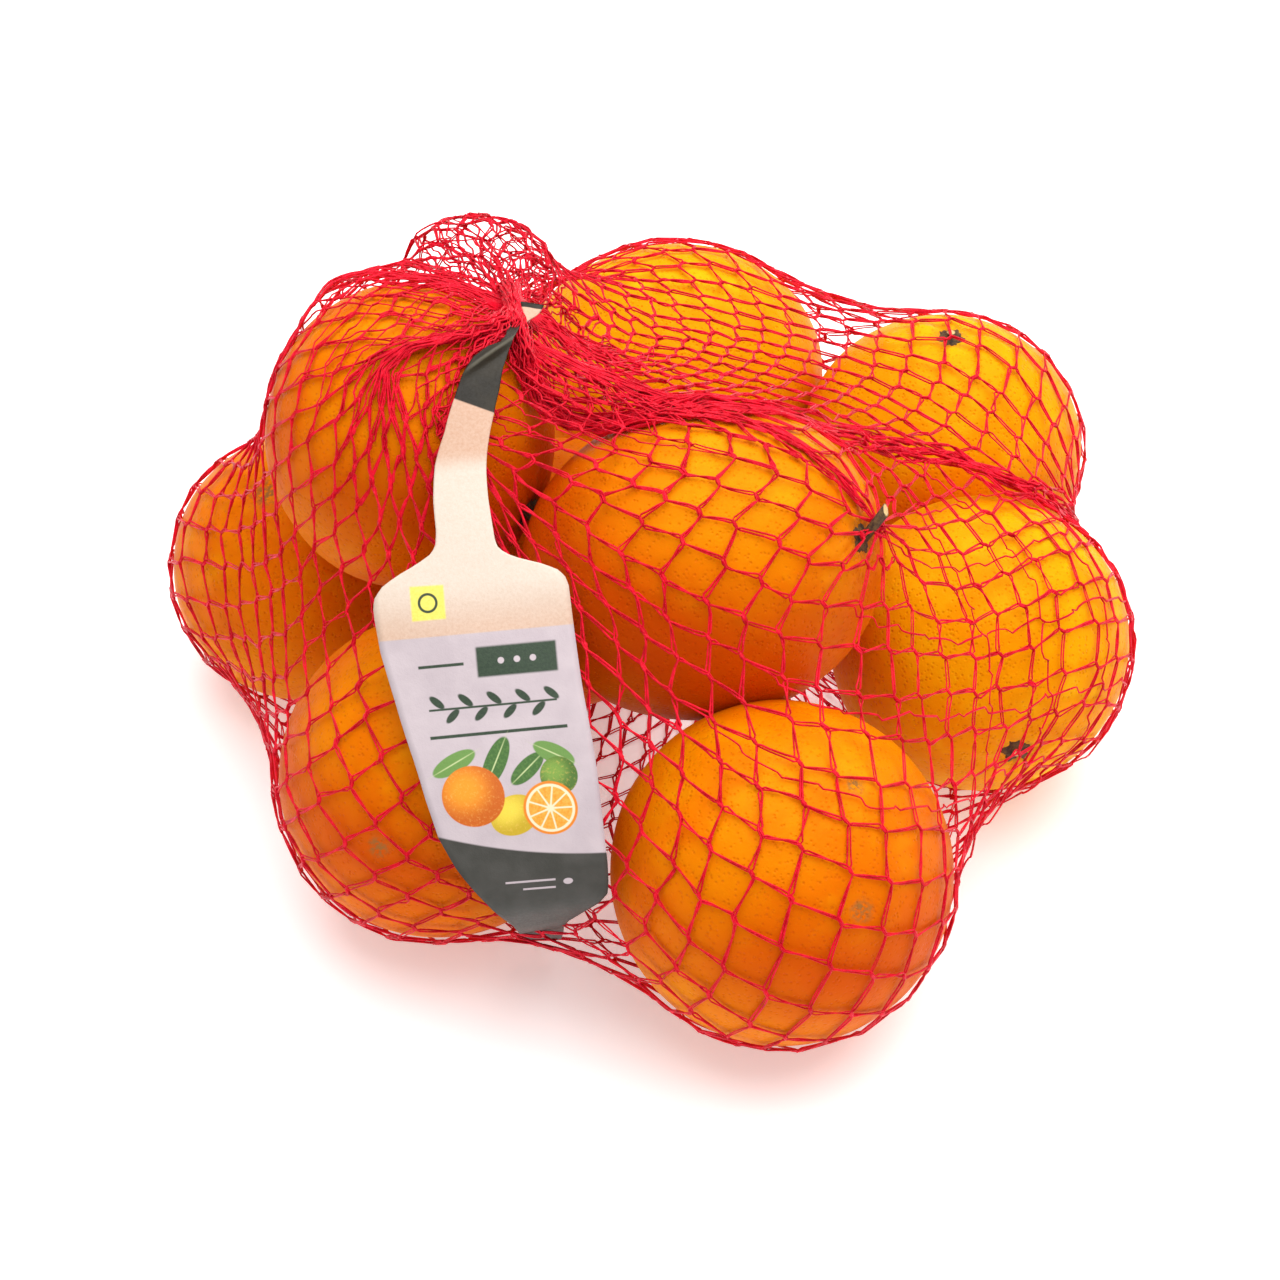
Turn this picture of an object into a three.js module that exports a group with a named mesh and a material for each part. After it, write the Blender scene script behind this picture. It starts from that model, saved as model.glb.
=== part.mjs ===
// A two-kilogram net bag of oranges lying on its side: nine uneven fruits, seven on the
// ground and two on top, in a knitted tube that is gathered at both ends. A long card
// label is caught in the two gathers and lies over the fruits between them.
//
// Millimetres, +Z up. The bag rests on Z = 0, centred on X and Y. Its label side faces
// up and towards -Y.
//
// Two solids: filled_net is the bag with its fruits as one closed body, out to the net,
// which sinks into the hollows between them, and label is the card that lies on it.

import * as THREE from 'three';
import { mergeVertices } from 'three/addons/utils/BufferGeometryUtils.js';

// ---- driving dimensions ----------------------------------------------------------

const NET_THICKNESS = 1.2; // knitted strands and their knots, outside the fruits
const MESH_DETAIL = 19; // subdivisions of each icosahedron edge
const RELAX_STEPS = 500;
const SAG = 0.0026; // how far the net sinks into the hollows between fruits at each step

// Each fruit is a long or flat ball: radius is its mean, stretch its length along axis
// for a ball of the same volume.
const FRUITS = [
  { name: 'topLeft', at: [-56, 7, 94], radius: 36, stretch: 1.1, axis: [-0.1, 0.7, 0.7] },
  { name: 'topFront', at: [14, -26, 82], radius: 39.6, stretch: 1.1, axis: [1, 0.15, 0.12] },
  { name: 'front', at: [32, -88, 41], radius: 40, stretch: 0.97, axis: [0.2, -0.5, 0.8] },
  { name: 'frontLeft', at: [-50, -56, 39.5], radius: 38.3, stretch: 1.02, axis: [0, 0.4, 1] },
  { name: 'left', at: [-87, 22, 34], radius: 33, stretch: 1.03, axis: [0, 0.2, 1] },
  { name: 'right', at: [83, -9, 38], radius: 37, stretch: 1.03, axis: [0.5, -0.6, 0.5] },
  { name: 'backRight', at: [77, 63, 37], radius: 36, stretch: 0.97, axis: [0, 0.9, 0.4] },
  { name: 'back', at: [12, 94, 36], radius: 34.7, stretch: 1.02, axis: [1, 0.3, 0.1] },
  { name: 'middle', at: [-21, 19, 35], radius: 34.2, stretch: 1, axis: [0, 0, 1] },
];

// Slack net stands up behind the top gather as if over one more, smaller ball.
const SLACK = { name: 'slack', at: [-43, 58, 98], radius: 16, stretch: 1.3, axis: [1, -0.15, 0] };

// The two gathers hold the net in a small knot: rise is how steeply it comes back out.
const TOP_GATHER = { at: [-32, 30, 116], rise: 0.6 };
const BOTTOM_GATHER = { at: [-24, -81, 9], rise: 1.1 };
const KNOT_RADIUS = 5;

const HEAP_CENTRE = new THREE.Vector3(0, 0, 45); // the net is a distance outward from here
const START_DISTANCE = 170;

// The label lies in a plane that leans back at this angle. In that plane its middle
// line runs through these points, across and up the slope.
const LABEL_LEAN = THREE.MathUtils.degToRad(45);
const LABEL_LINE = [
  [-31, 101],
  [-32, 93],
  [-40, 75],
  [-42.5, 61],
  [-41, 42],
  [-38.5, 26],
  [-35, 7],
  [-31, -9],
  [-27.5, -27],
  [-25.5, -38],
  [-24.5, -46],
  [-24.5, -49],
];
const LABEL_THICKNESS = 0.5;
const LABEL_GAP = 0.9; // between the card and the net under it
const LABEL_STATIONS = 64;
const LABEL_STRIPS = 6;
const TONGUE_WIDTH = 6; // the folded end in the top gather
const STRAP_WIDTH = 13; // the narrow upper part
const BODY_WIDTH = 45;
const TAIL_WIDTH = 10; // the end in the bottom gather
// How far along the label, as a share of its length, each part begins and ends.
const TONGUE_END = 0.08;
const STRAP_START = 0.24;
const SHOULDER_START = 0.395;
const SHOULDER_END = 0.46;
const TAPER_START = 0.7;
const TAIL_START = 0.967;

// ---- materials -------------------------------------------------------------------

const netMaterial = new THREE.MeshStandardMaterial({
  color: 0xe2601c,
  roughness: 0.6,
  metalness: 0,
});
const cardMaterial = new THREE.MeshStandardMaterial({
  color: 0xf0e2d2,
  roughness: 0.55,
  metalness: 0,
});

// ---- filled net ------------------------------------------------------------------

// A ball as its centre and the matrix that turns it, with the net round it, into a
// unit sphere at the origin.
function asUnitSphere({ at, radius, stretch, axis }) {
  const turn = new THREE.Quaternion().setFromUnitVectors(
    new THREE.Vector3(0, 0, 1),
    new THREE.Vector3(...axis).normalize(),
  );
  const across = radius / Math.sqrt(stretch) + NET_THICKNESS;
  const along = radius * stretch + NET_THICKNESS;
  const scale = new THREE.Vector3(across, across, along);
  return new THREE.Matrix4().compose(new THREE.Vector3(...at), turn, scale).invert();
}

// Distance from the heap's centre at which a ray leaves a ball, or 0 where it misses.
function exitDistance(ball, direction) {
  const start = HEAP_CENTRE.clone().applyMatrix4(ball);
  const step = HEAP_CENTRE.clone().add(direction).applyMatrix4(ball).sub(start);
  const a = step.lengthSq();
  const b = start.dot(step);
  const c = start.lengthSq() - 1;
  const root = b * b - a * c;
  return root < 0 ? 0 : (-b + Math.sqrt(root)) / a;
}

// The least and most that a gather lets the net stand out along a ray.
function gatherLimits({ at, rise }, direction) {
  const gather = new THREE.Vector3(...at).sub(HEAP_CENTRE);
  const held = gather.length();
  const aside = held * gather.angleTo(direction);
  return [aside < KNOT_RADIUS ? held : 0, held + rise * Math.max(aside - KNOT_RADIUS, 0)];
}

// The vertices that share an edge with each vertex.
function edgeNeighbours(geometry) {
  const neighbours = Array.from({ length: geometry.attributes.position.count }, () => new Set());
  const index = geometry.index.array;
  for (let i = 0; i < index.length; i += 3) {
    for (let k = 0; k < 3; k += 1) {
      const from = index[i + k];
      const to = index[i + ((k + 1) % 3)];
      neighbours[from].add(to);
      neighbours[to].add(from);
    }
  }
  return neighbours.map((set) => [...set]);
}

function onlyPositions(geometry) {
  geometry.deleteAttribute('normal');
  geometry.deleteAttribute('uv');
  return mergeVertices(geometry, 1e-4);
}

// The net is stretched like a skin: each point of it moves to the middle of its
// neighbours, along its own ray, but never into a fruit, the ground or past a gather.
function buildFilledNet() {
  const geometry = onlyPositions(new THREE.IcosahedronGeometry(1, MESH_DETAIL));
  const position = geometry.attributes.position;
  const neighbours = edgeNeighbours(geometry);
  const balls = [...FRUITS, SLACK].map(asUnitSphere);
  const rays = [];
  const least = [];
  const most = [];
  for (let i = 0; i < position.count; i += 1) {
    const ray = new THREE.Vector3().fromBufferAttribute(position, i).normalize();
    const ground = ray.z < 0 ? -HEAP_CENTRE.z / ray.z : Infinity;
    const [topHeld, topMost] = gatherLimits(TOP_GATHER, ray);
    const [bottomHeld, bottomMost] = gatherLimits(BOTTOM_GATHER, ray);
    const filled = Math.max(topHeld, bottomHeld, ...balls.map((ball) => exitDistance(ball, ray)));
    rays.push(ray);
    least.push(Math.min(filled, ground));
    most.push(Math.min(Math.max(filled, Math.min(topMost, bottomMost)), ground));
  }
  let distance = most.map((limit) => Math.min(limit, START_DISTANCE));
  const middle = new THREE.Vector3();
  for (let step = 0; step < RELAX_STEPS; step += 1) {
    distance = distance.map((_, i) => {
      middle.set(0, 0, 0);
      for (const n of neighbours[i]) {
        middle.addScaledVector(rays[n], distance[n] / neighbours[i].length);
      }
      const sag = rays[i].z > 0 ? SAG : 0;
      return THREE.MathUtils.clamp(middle.dot(rays[i]) * (1 - sag), least[i], most[i]);
    });
  }
  for (let i = 0; i < position.count; i += 1) {
    const point = rays[i].clone().multiplyScalar(distance[i]).add(HEAP_CENTRE);
    position.setXYZ(i, point.x, point.y, Math.max(point.z, 0));
  }
  geometry.computeVertexNormals();
  return geometry;
}

// ---- label -----------------------------------------------------------------------

const slopeUp = new THREE.Vector3(0, Math.sin(LABEL_LEAN), Math.cos(LABEL_LEAN));
const slopeOut = new THREE.Vector3(0, -Math.cos(LABEL_LEAN), Math.sin(LABEL_LEAN));

// The label's width at a share of its length: a folded tongue, a narrow strap, rounded
// shoulders, a straight body and a rounded taper to the tail.
function labelWidth(share) {
  const ease = THREE.MathUtils.smoothstep;
  if (share < SHOULDER_START) {
    return THREE.MathUtils.lerp(TONGUE_WIDTH, STRAP_WIDTH, ease(share, TONGUE_END, STRAP_START));
  }
  if (share < TAPER_START) {
    return THREE.MathUtils.lerp(STRAP_WIDTH, BODY_WIDTH, ease(share, SHOULDER_START, SHOULDER_END));
  }
  const way = Math.min((share - TAPER_START) / (TAIL_START - TAPER_START), 1);
  return THREE.MathUtils.lerp(TAIL_WIDTH, BODY_WIDTH, Math.sqrt(1 - way ** 2));
}

function buildLabel(net) {
  const flatPoints = LABEL_LINE.map(([x, y]) => new THREE.Vector3(x, y, 0));
  const line = new THREE.CatmullRomCurve3(flatPoints, false, 'centripetal');
  const shares = Array.from({ length: LABEL_STATIONS + 1 }, (_, i) => i / LABEL_STATIONS);
  const middles = shares.map((share) => line.getPointAt(share));
  const acrosses = shares.map((share) => {
    const along = line.getTangentAt(share);
    return new THREE.Vector3(-along.y, along.x, 0);
  });

  // A point of the slope, x across and y up, at a height out from it.
  const onSlope = (point, height) => new THREE.Vector3(point.x, 0, 0)
    .addScaledVector(slopeUp, point.y)
    .addScaledVector(slopeOut, height);

  // Height of the net under each station: the highest place across the label's width.
  // The card is nowhere lower than the gathers that hold its ends.
  const ends = [TOP_GATHER, BOTTOM_GATHER].map(({ at }) => slopeOut.dot(new THREE.Vector3(...at)));
  const caster = new THREE.Raycaster();
  const inward = slopeOut.clone().negate();
  const netUnder = shares.map((share, i) => {
    let highest = Math.min(...ends);
    for (let k = 0; k <= LABEL_STRIPS; k += 1) {
      const side = (k / LABEL_STRIPS - 0.5) * labelWidth(share);
      const point = middles[i].clone().addScaledVector(acrosses[i], side);
      caster.set(onSlope(point, START_DISTANCE), inward);
      const hits = caster.intersectObject(net);
      if (hits.length > 0) {
        highest = Math.max(highest, START_DISTANCE - hits[0].distance);
      }
    }
    return highest + LABEL_GAP;
  });

  // The card is taut between the gathers: it touches the net only where it must.
  const height = [...netUnder];
  for (let step = 0; step < RELAX_STEPS * 10; step += 1) {
    for (let i = 1; i < LABEL_STATIONS; i += 1) {
      height[i] = Math.max(netUnder[i], (height[i - 1] + height[i + 1]) / 2);
    }
  }

  const box = new THREE.BoxGeometry(1, 1, 1, LABEL_STATIONS, LABEL_STRIPS, 1);
  const geometry = onlyPositions(box);
  const position = geometry.attributes.position;
  for (let i = 0; i < position.count; i += 1) {
    const station = Math.round((0.5 - position.getX(i)) * LABEL_STATIONS);
    const side = position.getY(i) * labelWidth(shares[station]);
    const point = middles[station].clone().addScaledVector(acrosses[station], -side);
    const out = height[station] + (position.getZ(i) + 0.5) * LABEL_THICKNESS;
    position.setXYZ(i, ...onSlope(point, out).toArray());
  }
  geometry.computeVertexNormals();
  return geometry;
}

// ---- the object ------------------------------------------------------------------

const net = new THREE.Mesh(buildFilledNet(), netMaterial);
net.name = 'filled_net';

const label = new THREE.Mesh(buildLabel(net), cardMaterial);
label.name = 'label';

const bag = new THREE.Group();
bag.add(net, label);

export default bag;
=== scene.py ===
"""A net of oranges lying on its side: nine oranges in a gathered tube of knitted plastic net, and a card
label that comes out of the upper gather, lies on the net and tucks its foot under it."""

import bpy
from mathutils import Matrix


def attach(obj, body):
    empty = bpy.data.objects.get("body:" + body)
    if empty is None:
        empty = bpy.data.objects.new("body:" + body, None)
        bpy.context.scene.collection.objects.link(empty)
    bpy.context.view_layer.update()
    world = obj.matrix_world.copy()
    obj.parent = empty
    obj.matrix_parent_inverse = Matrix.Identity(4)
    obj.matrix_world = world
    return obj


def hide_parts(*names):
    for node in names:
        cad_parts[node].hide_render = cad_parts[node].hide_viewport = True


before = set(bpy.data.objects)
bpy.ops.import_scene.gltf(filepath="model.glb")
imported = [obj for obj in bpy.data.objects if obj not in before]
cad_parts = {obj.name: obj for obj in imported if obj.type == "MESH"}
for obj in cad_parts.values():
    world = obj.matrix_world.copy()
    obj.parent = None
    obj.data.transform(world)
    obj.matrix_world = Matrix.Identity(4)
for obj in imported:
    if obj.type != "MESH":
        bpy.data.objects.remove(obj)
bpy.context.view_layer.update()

import bmesh
import bpy
import numpy as np
from mathutils import Vector

# ---- sizes, in millimetres
MM = 0.001

# The fruit: centre, mean radius, stretch along an axis, and that axis.
FRUITS = {
    "top_left": ((-56.2, 6.2, 93), 35.6, 1.04, (-0.1, 0.7, 0.7)),
    "top_front": ((14, -26, 82), 39.6, 1.1, (1, 0.15, 0.12)),
    "front": ((32, -88, 41), 40, 0.97, (0.2, -0.5, 0.8)),
    "front_left": ((-50, -56, 39.5), 38.3, 1.02, (0, 0.4, 1)),
    "left": ((-87, 22, 34), 33, 1.03, (0, 0.2, 1)),
    "right": ((83, -9, 38), 37, 1.03, (0.5, -0.6, 0.5)),
    "back_right": ((77, 63, 37), 36, 0.97, (0, 0.9, 0.4)),
    "back": ((6.3, 90, 36.8), 38, 1.093, (1, 0.14, 0.14)),
    "middle": ((-21, 19, 35), 34.2, 1.0, (0, 0, 1)),
}
HIDDEN = "middle"  # seen only through gaps

# The net's gathers: place, the way out of the net, and half the width and length of the ring of end nodes.
TOP_GATHER = np.array([-31.5, 23.0, 116.5])
TOP_GATHER_NORMAL = (0.0, 0.12, 1.0)
TOP_GATHER_HALF = (2.4, 7.5)
BOTTOM_GATHER = np.array([20.0, 45.0, 2.0])
BOTTOM_GATHER_NORMAL = (0.0, 0.0, -1.0)
BOTTOM_GATHER_HALF = (3.5, 3.5)
# Slack net stands up behind the upper gather as if over these balls, given like the fruit.
SLACKS = [
    ((-41, 60, 99), 16.0, 1.2, (1, -0.15, 0)),
    ((-62.4, 39, 104), 13.0, 1.3, (1, 0.5, 0.1)),
    ((-65, 20.4, 107.2), 19.5, 1.0, (0, 0, 1)),
]
# The cut stem on the top front fruit catches the net.
HOOK = np.array([54.5, -32.0, 100.0])
HOOK_REACH = 16.0
HOOK_PULL = 0.25

# The net's diamond cells: rows from the upper gather to the lower one, and columns round the net.
ROWS = 46
COLUMNS = 58
SIDE_SLACK = 5.8  # length a cell's side shrinks to by itself
SIDE_TIGHT = 9.3  # length a cell's side stretches to
SIDE_LEAST = 2.9  # length below which a side pushes back
SIDE_UNEVEN = 0.2  # how far the sides differ
NODE_GAP = 1.0  # a node above the peel
FLOOR_GAP = 0.8  # a node above the floor
# How the net settles on the fruit.
NET_STEPS = 2500
NET_PASSES = 2  # passes over the sides in each step
NET_SHRINKING = 0.5  # share of the steps over which the net shrinks to its size
NET_START_SCALE = 3.0
NET_START_RADIUS = 178.0
NET_START_CENTRE = np.array([0.0, 0.0, 50.0])
NET_TENSION = 0.08
NET_WEIGHT = 0.005
NET_DAMPING = 0.92
NET_FASTEST = 2.0

# Folds that draw the slack net in along a line: the middle column, how many columns and rows, how far apart
# the columns lie along the line, and how rough and how strong the fold is.
FOLDS = [
    # out of the upper gather, over the top front fruit and down between the two on the right
    dict(line=[(-31, 20, 117), (-29, 10, 118.5), (-26.5, 3, 116.5), (-24, -3, 112.5), (-18, -8, 111.5),
               (-10.5, -12, 112.5), (0, -13, 117), (14, -10, 118.5), (28, -8, 114), (42, 0, 102),
               (57, 8, 89), (73, 15, 79), (88, 14, 72), (98, 14, 66), (108, 18, 52), (108, 26, 34)],
         middle=0, columns=11, rows=29, apart=(0.25, 0.5, 0.55, 0.75, 1.0), rough=0.7, pull=0.3),
    # down beside the label
    dict(line=[(-33, 14, 118), (-39, 2, 124), (-43, -8, 122), (-46, -18, 117)],
         middle=19, columns=5, rows=10, apart=(0.2, 0.5), rough=1.0, pull=0.2),
    # over the top left fruit
    dict(line=[(-33.5, 14, 122), (-36, 9, 126), (-40, 4.5, 128), (-46.2, -0.5, 129.6), (-55.4, -3, 130.6),
               (-63, -2.5, 130.2), (-70.5, 0, 128.3)],
         middle=27, columns=6, rows=7, apart=(0.2, 0.7), rough=0.8, pull=0.14),
]
FOLD_START, FOLD_FULL = 0.35, 0.6  # shares of the steps after which the folds pull, and pull in full
FOLD_FADE = 4.0  # rows over which a fold lets go

# The threads: each side of a cell is a pair, knitted together at its two ends.
THREAD_RADIUS = 0.25
THREAD_GAP = 0.30  # a thread's centre above the peel
THREAD_SIDES = 4
THREAD_LOWEST = 0.02  # a thread's skin above the floor
TWIN_GAP = 0.5  # between a pair's centres
TWIN_BULGE = 0.75  # how much wider the loosest pair opens
WAVE_TAUT, WAVE_SLACK = 0.22, 0.75  # how far a taut side waves, and how much more a slack one does
WAVE_FROM, WAVE_RANGE = 7.0, 4.2  # length at which a side is taut, and how much shorter the slackest is
CROWDED = 4.0  # columns nearer than this draw their pairs together
JOINT_HALF = 0.8  # half the length over which two pairs are knitted together
JOINT_STEPS = np.array([0.0])
SIDE_STEPS = np.array([0.0, 0.16, 0.36, 0.64, 0.84])
ROW_STEPS = len(JOINT_STEPS) + len(SIDE_STEPS)
KNOT_RINGS, KNOT_SIDES = 3, 4
KNOT_ROOM = 1.6  # columns nearer than this have no knots of their own
KNOT_SIZES = (0.45, 0.9)  # the smallest and the largest knot
KNOT_SPACING = 5.5  # how far apart the columns are for each millimetre of a knot's size
KNOT_UNEVEN = 0.25
KNOT_HALF = (0.62, 0.5, 1.35)  # half its width, height and length, as shares of its size
KNOT_TIP = 1.5  # half its length out to the tips
STRAND_PARTS = 4  # pieces that the strands are shared out over


def both(*spans):
    """The strands of both families that start in spans of columns."""
    columns = [column for span in spans for column in range(*span)]
    return columns + [COLUMNS + column for column in columns]


# Where the net lies doubled, beside the upper gather and over the right-hand fruit: the first layer's
# strands, its first and last row, where the second layer's strands run between two of the first layer's,
# how far they stray sideways, and how far they stand off.
PLEATS = {
    "front": (both((15, 37)), 0, 10, (0.5,), 0.25, 0.3),
    "right": (both((48, 58), (0, 11)), 0, 10, (0.5,), 0.25, 0.3),
    "near": (both((16, 36), (48, 58), (0, 7)), 0, 5, (0.25, 0.75), 0.3, 0.5),
    "crease": (both((55, 58), (0, 4)), 0, 11, (0.5,), 0.4, 0.7),
    "tent": (both((36, 50)), 0, 8, (0.33, 0.67), 0.8, 0.4),
    "side": ([*range(50, 58, 2), *range(COLUMNS + 16, COLUMNS + 25, 2)], 19, 36, (0.5,), 0.75, 0.4),
}
PLEAT_WANDER = 5  # how smoothly a second layer's strand strays
PLEAT_MERGE = 3  # rows over which it runs into the first layer


# ---- small helpers
def unit(v):
    v = np.asarray(v, float)
    return v / np.maximum(np.linalg.norm(v, axis=-1, keepdims=True), 1e-9)


def frame_of(axis):
    """Rows x, y, z of a right-handed frame whose z is the axis."""
    z = unit(axis)
    x = unit(np.cross((0, 1, 0) if abs(z[1]) < 0.9 else (1, 0, 0), z))
    return np.array([x, np.cross(z, x), z])


def smoothstep(edge0, edge1, x):
    t = np.clip((x - edge0) / (edge1 - edge0), 0, 1)
    return t * t * (3 - 2 * t)


def spread(rng, shape, amount, passes=2):
    """Random values that change smoothly along axis 1."""
    v = rng.normal(size=shape)
    for _ in range(passes):
        v = (v + np.roll(v, 1, axis=1) + np.roll(v, -1, axis=1)) / 3
    return v * amount / max(v.std(), 1e-9)


def hermite(a, b, slope_a, slope_b, t):
    """The smooth curve from a to b, at shares t of the way."""
    t2, t3 = t * t, t * t * t
    near = (2 * t3 - 3 * t2 + 1) * a + (t3 - 2 * t2 + t) * slope_a
    return near + (3 * t2 - 2 * t3) * b + (t3 - t2) * slope_b


def curve_through(path, steps):
    """A smooth curve through points, with that many steps between neighbours."""
    points = np.array(path, float)
    slope = (np.concatenate([points[1:], points[-1:]]) - np.concatenate([points[:1], points[:-1]])) / 2
    ends = (v[:, None] for v in (points[:-1], points[1:], slope[:-1], slope[1:]))
    inner = hermite(*ends, (np.arange(steps) / steps)[None, :, None])
    return np.concatenate([inner.reshape(-1, 3), points[-1:]])


def arc_lengths(line):
    return np.concatenate([[0], np.cumsum(np.linalg.norm(np.diff(line, axis=0), axis=1))])


class Ball:
    """A fruit's ellipsoid, grown by a margin."""

    def __init__(self, at, radius, stretch, axis, margin):
        self.centre = np.array(at, float)
        self.turn = frame_of(axis)
        across = radius / np.sqrt(stretch) + margin
        self.half = np.array([across, across, radius * stretch + margin])

    def push(self, points):
        """Moves the points that are inside to the surface."""
        q = (points - self.centre) @ self.turn.T / self.half
        n = np.linalg.norm(q, axis=-1, keepdims=True)
        inside = n[..., 0] < 1
        if inside.any():
            out = q[inside] / np.maximum(n[inside], 1e-6)
            points[inside] = (out * self.half) @ self.turn + self.centre


def balls(margin):
    return [Ball(*fruit, margin) for fruit in FRUITS.values()]


def closed_rings(rings, sides):
    """Quads between rings of points, and triangles from the first and the last ring to two more points."""
    k = np.arange(sides)
    beside = (k + 1) % sides
    start = np.arange(rings - 1)[:, None] * sides
    quads = np.stack([start + k, start + beside, start + sides + beside, start + sides + k], axis=-1)
    last, tip = (rings - 1) * sides, np.full(sides, rings * sides)
    fans = [np.stack([tip, beside, k], axis=-1), np.stack([tip + 1, last + k, last + beside], axis=-1)]
    return quads.reshape(-1, 4), np.concatenate(fans)


def add_piece(name, points, faces, material, slot, *nodes, **painted):
    """A smooth piece: points in millimetres, each face's points, and values at points for its material."""
    mesh = bpy.data.meshes.new(name)
    mesh.from_pydata((np.reshape(points, (-1, 3)) * MM).tolist(), [], faces)
    mesh.validate()
    mesh.shade_smooth()
    mesh.materials.append(material)
    for key, values in painted.items():
        mesh.attributes.new(key, "FLOAT", "POINT").data.foreach_set("value", values)
    thing = bpy.data.objects.new(name, mesh)
    bpy.context.scene.collection.objects.link(thing)
    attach(thing, "root")
    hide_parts(*nodes)


# ---- materials
def srgb(r, g, b):
    """A colour given in display values from 0 to 255."""
    c = np.array([r, g, b]) / 255.0
    c = np.where(c <= 0.04045, c / 12.92, ((c + 0.055) / 1.055) ** 2.4)
    return (*[float(x) for x in c], 1.0)


class Nodes:
    """A new material and shorthand for its node tree. Lengths are in metres."""

    def __init__(self, name):
        self.material = bpy.data.materials.new(name)
        self.material.use_nodes = True
        self.tree = self.material.node_tree
        self.tree.nodes.clear()
        out = self.tree.nodes.new("ShaderNodeOutputMaterial")
        self.shader = self.tree.nodes.new("ShaderNodeBsdfPrincipled")
        self.tree.links.new(self.shader.outputs[0], out.inputs[0])

    def put(self, socket, value):
        if isinstance(value, bpy.types.NodeSocket):
            self.tree.links.new(value, socket)
        elif value is not None:
            socket.default_value = value

    def surface(self, values):
        """Gives the shader its values by socket name, and returns the material."""
        for name, value in values.items():
            self.put(self.shader.inputs[name], value)
        return self.material

    def node(self, kind, values, **settings):
        """A new node with its settings, and its inputs by name or number."""
        new = self.tree.nodes.new("ShaderNode" + kind)
        for name, value in settings.items():
            setattr(new, name, value)
        for name, value in values.items():
            self.put(new.inputs[name], value)
        return new

    def coords(self):
        return self.node("TexCoord", {}).outputs["Object"]

    def attribute(self, name):
        return self.node("Attribute", {}, attribute_name=name).outputs["Fac"]

    def noise(self, scale, detail, rough, where):
        values = {"Scale": scale, "Detail": detail, "Roughness": rough, "Vector": where}
        return self.node("TexNoise", values).outputs[0]

    def cells(self, scale, where):
        return self.node("TexVoronoi", {"Scale": scale, "Vector": where}).outputs["Distance"]

    def math(self, kind, a, b=None, c=None, clamp=False):
        return self.node("Math", {0: a, 1: b, 2: c}, operation=kind, use_clamp=clamp).outputs[0]

    def plus(self, a, b):
        return self.math("ADD", a, b)

    def minus(self, a, b):
        return self.math("SUBTRACT", a, b)

    def times(self, a, b, clamp=False):
        return self.math("MULTIPLY", a, b, clamp=clamp)

    def times_plus(self, a, b, c):
        return self.math("MULTIPLY_ADD", a, b, c)

    def ramp(self, value, low, high, out_low=0.0, out_high=1.0):
        """A smooth step from one value to another."""
        ends = {"Value": value, "From Min": low, "From Max": high, "To Min": out_low, "To Max": out_high}
        return self.node("MapRange", ends, interpolation_type="SMOOTHSTEP").outputs["Result"]

    def mix(self, share, a, b):
        return self.node("Mix", {"Factor": share, 6: a, 7: b}, data_type="RGBA").outputs[2]

    def mottled(self, texture, a, b, high=0.7, low=0.3):
        """Two colours, given in display values, mixed by a texture."""
        return self.mix(self.ramp(texture, low, high), srgb(*a), srgb(*b))

    def bump(self, height, distance, strength):
        values = {"Strength": strength, "Distance": distance, "Height": height}
        return self.node("Bump", values).outputs[0]


def peel_material(name, base, deep, yellow):
    """Waxed orange peel: oil glands as fine pits, soft lumps, mottled colour, dry scars, and a deeper red
    that is partly painted shade.
    """
    n = Nodes(name)
    where = n.coords()
    mottle = n.noise(95, 3, 0.55, where)
    broad = n.noise(28, 2, 0.5, where)
    pits = n.ramp(n.cells(820, where), 0.05, 0.42)
    fine = n.noise(1500, 2, 0.6, where)
    lumps = n.noise(240, 3, 0.5, where)
    scar = n.times(n.attribute("scar"), n.ramp(n.noise(900, 3, 0.6, where), 0.35, 0.6), clamp=True)
    colour = n.mottled(broad, deep, base, 0.66, 0.38)
    colour = n.mix(n.ramp(mottle, 0.45, 0.75, 0.0, 0.55), colour, srgb(*yellow))
    colour = n.mix(n.ramp(pits, 0.0, 1.0, 0.26, 0.0), colour, srgb(200, 84, 0))
    # a deeper red where the points ask for it: partly the fruit's own redness, partly painted shade
    colour = n.mix(n.attribute("blush"), colour, srgb(206, 74, 0))
    colour = n.mix(scar, colour, srgb(150, 105, 55))
    height = n.plus(n.times(pits, 0.7), n.times(lumps, 1.3))
    height = n.plus(height, n.times(fine, 0.12))
    return n.surface({
        "Base Color": colour,
        "Roughness": n.ramp(n.plus(fine, scar), 0.3, 0.9, 0.42, 0.66),
        "Specular IOR Level": 0.08,
        "Specular Tint": (1.0, 0.72, 0.34, 1.0),
        "Subsurface Weight": 0.1,
        "Subsurface Radius": (1.0, 0.35, 0.05),
        "Subsurface Scale": 0.003,
        "Normal": n.bump(height, 0.0003, 0.75),
    })


def stem_material():
    """Dry calyx and cut stem."""
    n = Nodes("orange_stem")
    where = n.coords()
    blotch = n.noise(700, 4, 0.6, where)
    colour = n.mottled(blotch, (54, 32, 18), (106, 78, 42), 0.65, 0.35)
    return n.surface({
        "Base Color": n.mix(n.attribute("cut"), colour, srgb(226, 190, 130)),
        "Roughness": n.ramp(blotch, 0.2, 0.8, 0.7, 0.9),
        "Normal": n.bump(n.plus(n.noise(1800, 3, 0.6, where), blotch), 0.0004, 0.8),
    })


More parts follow.
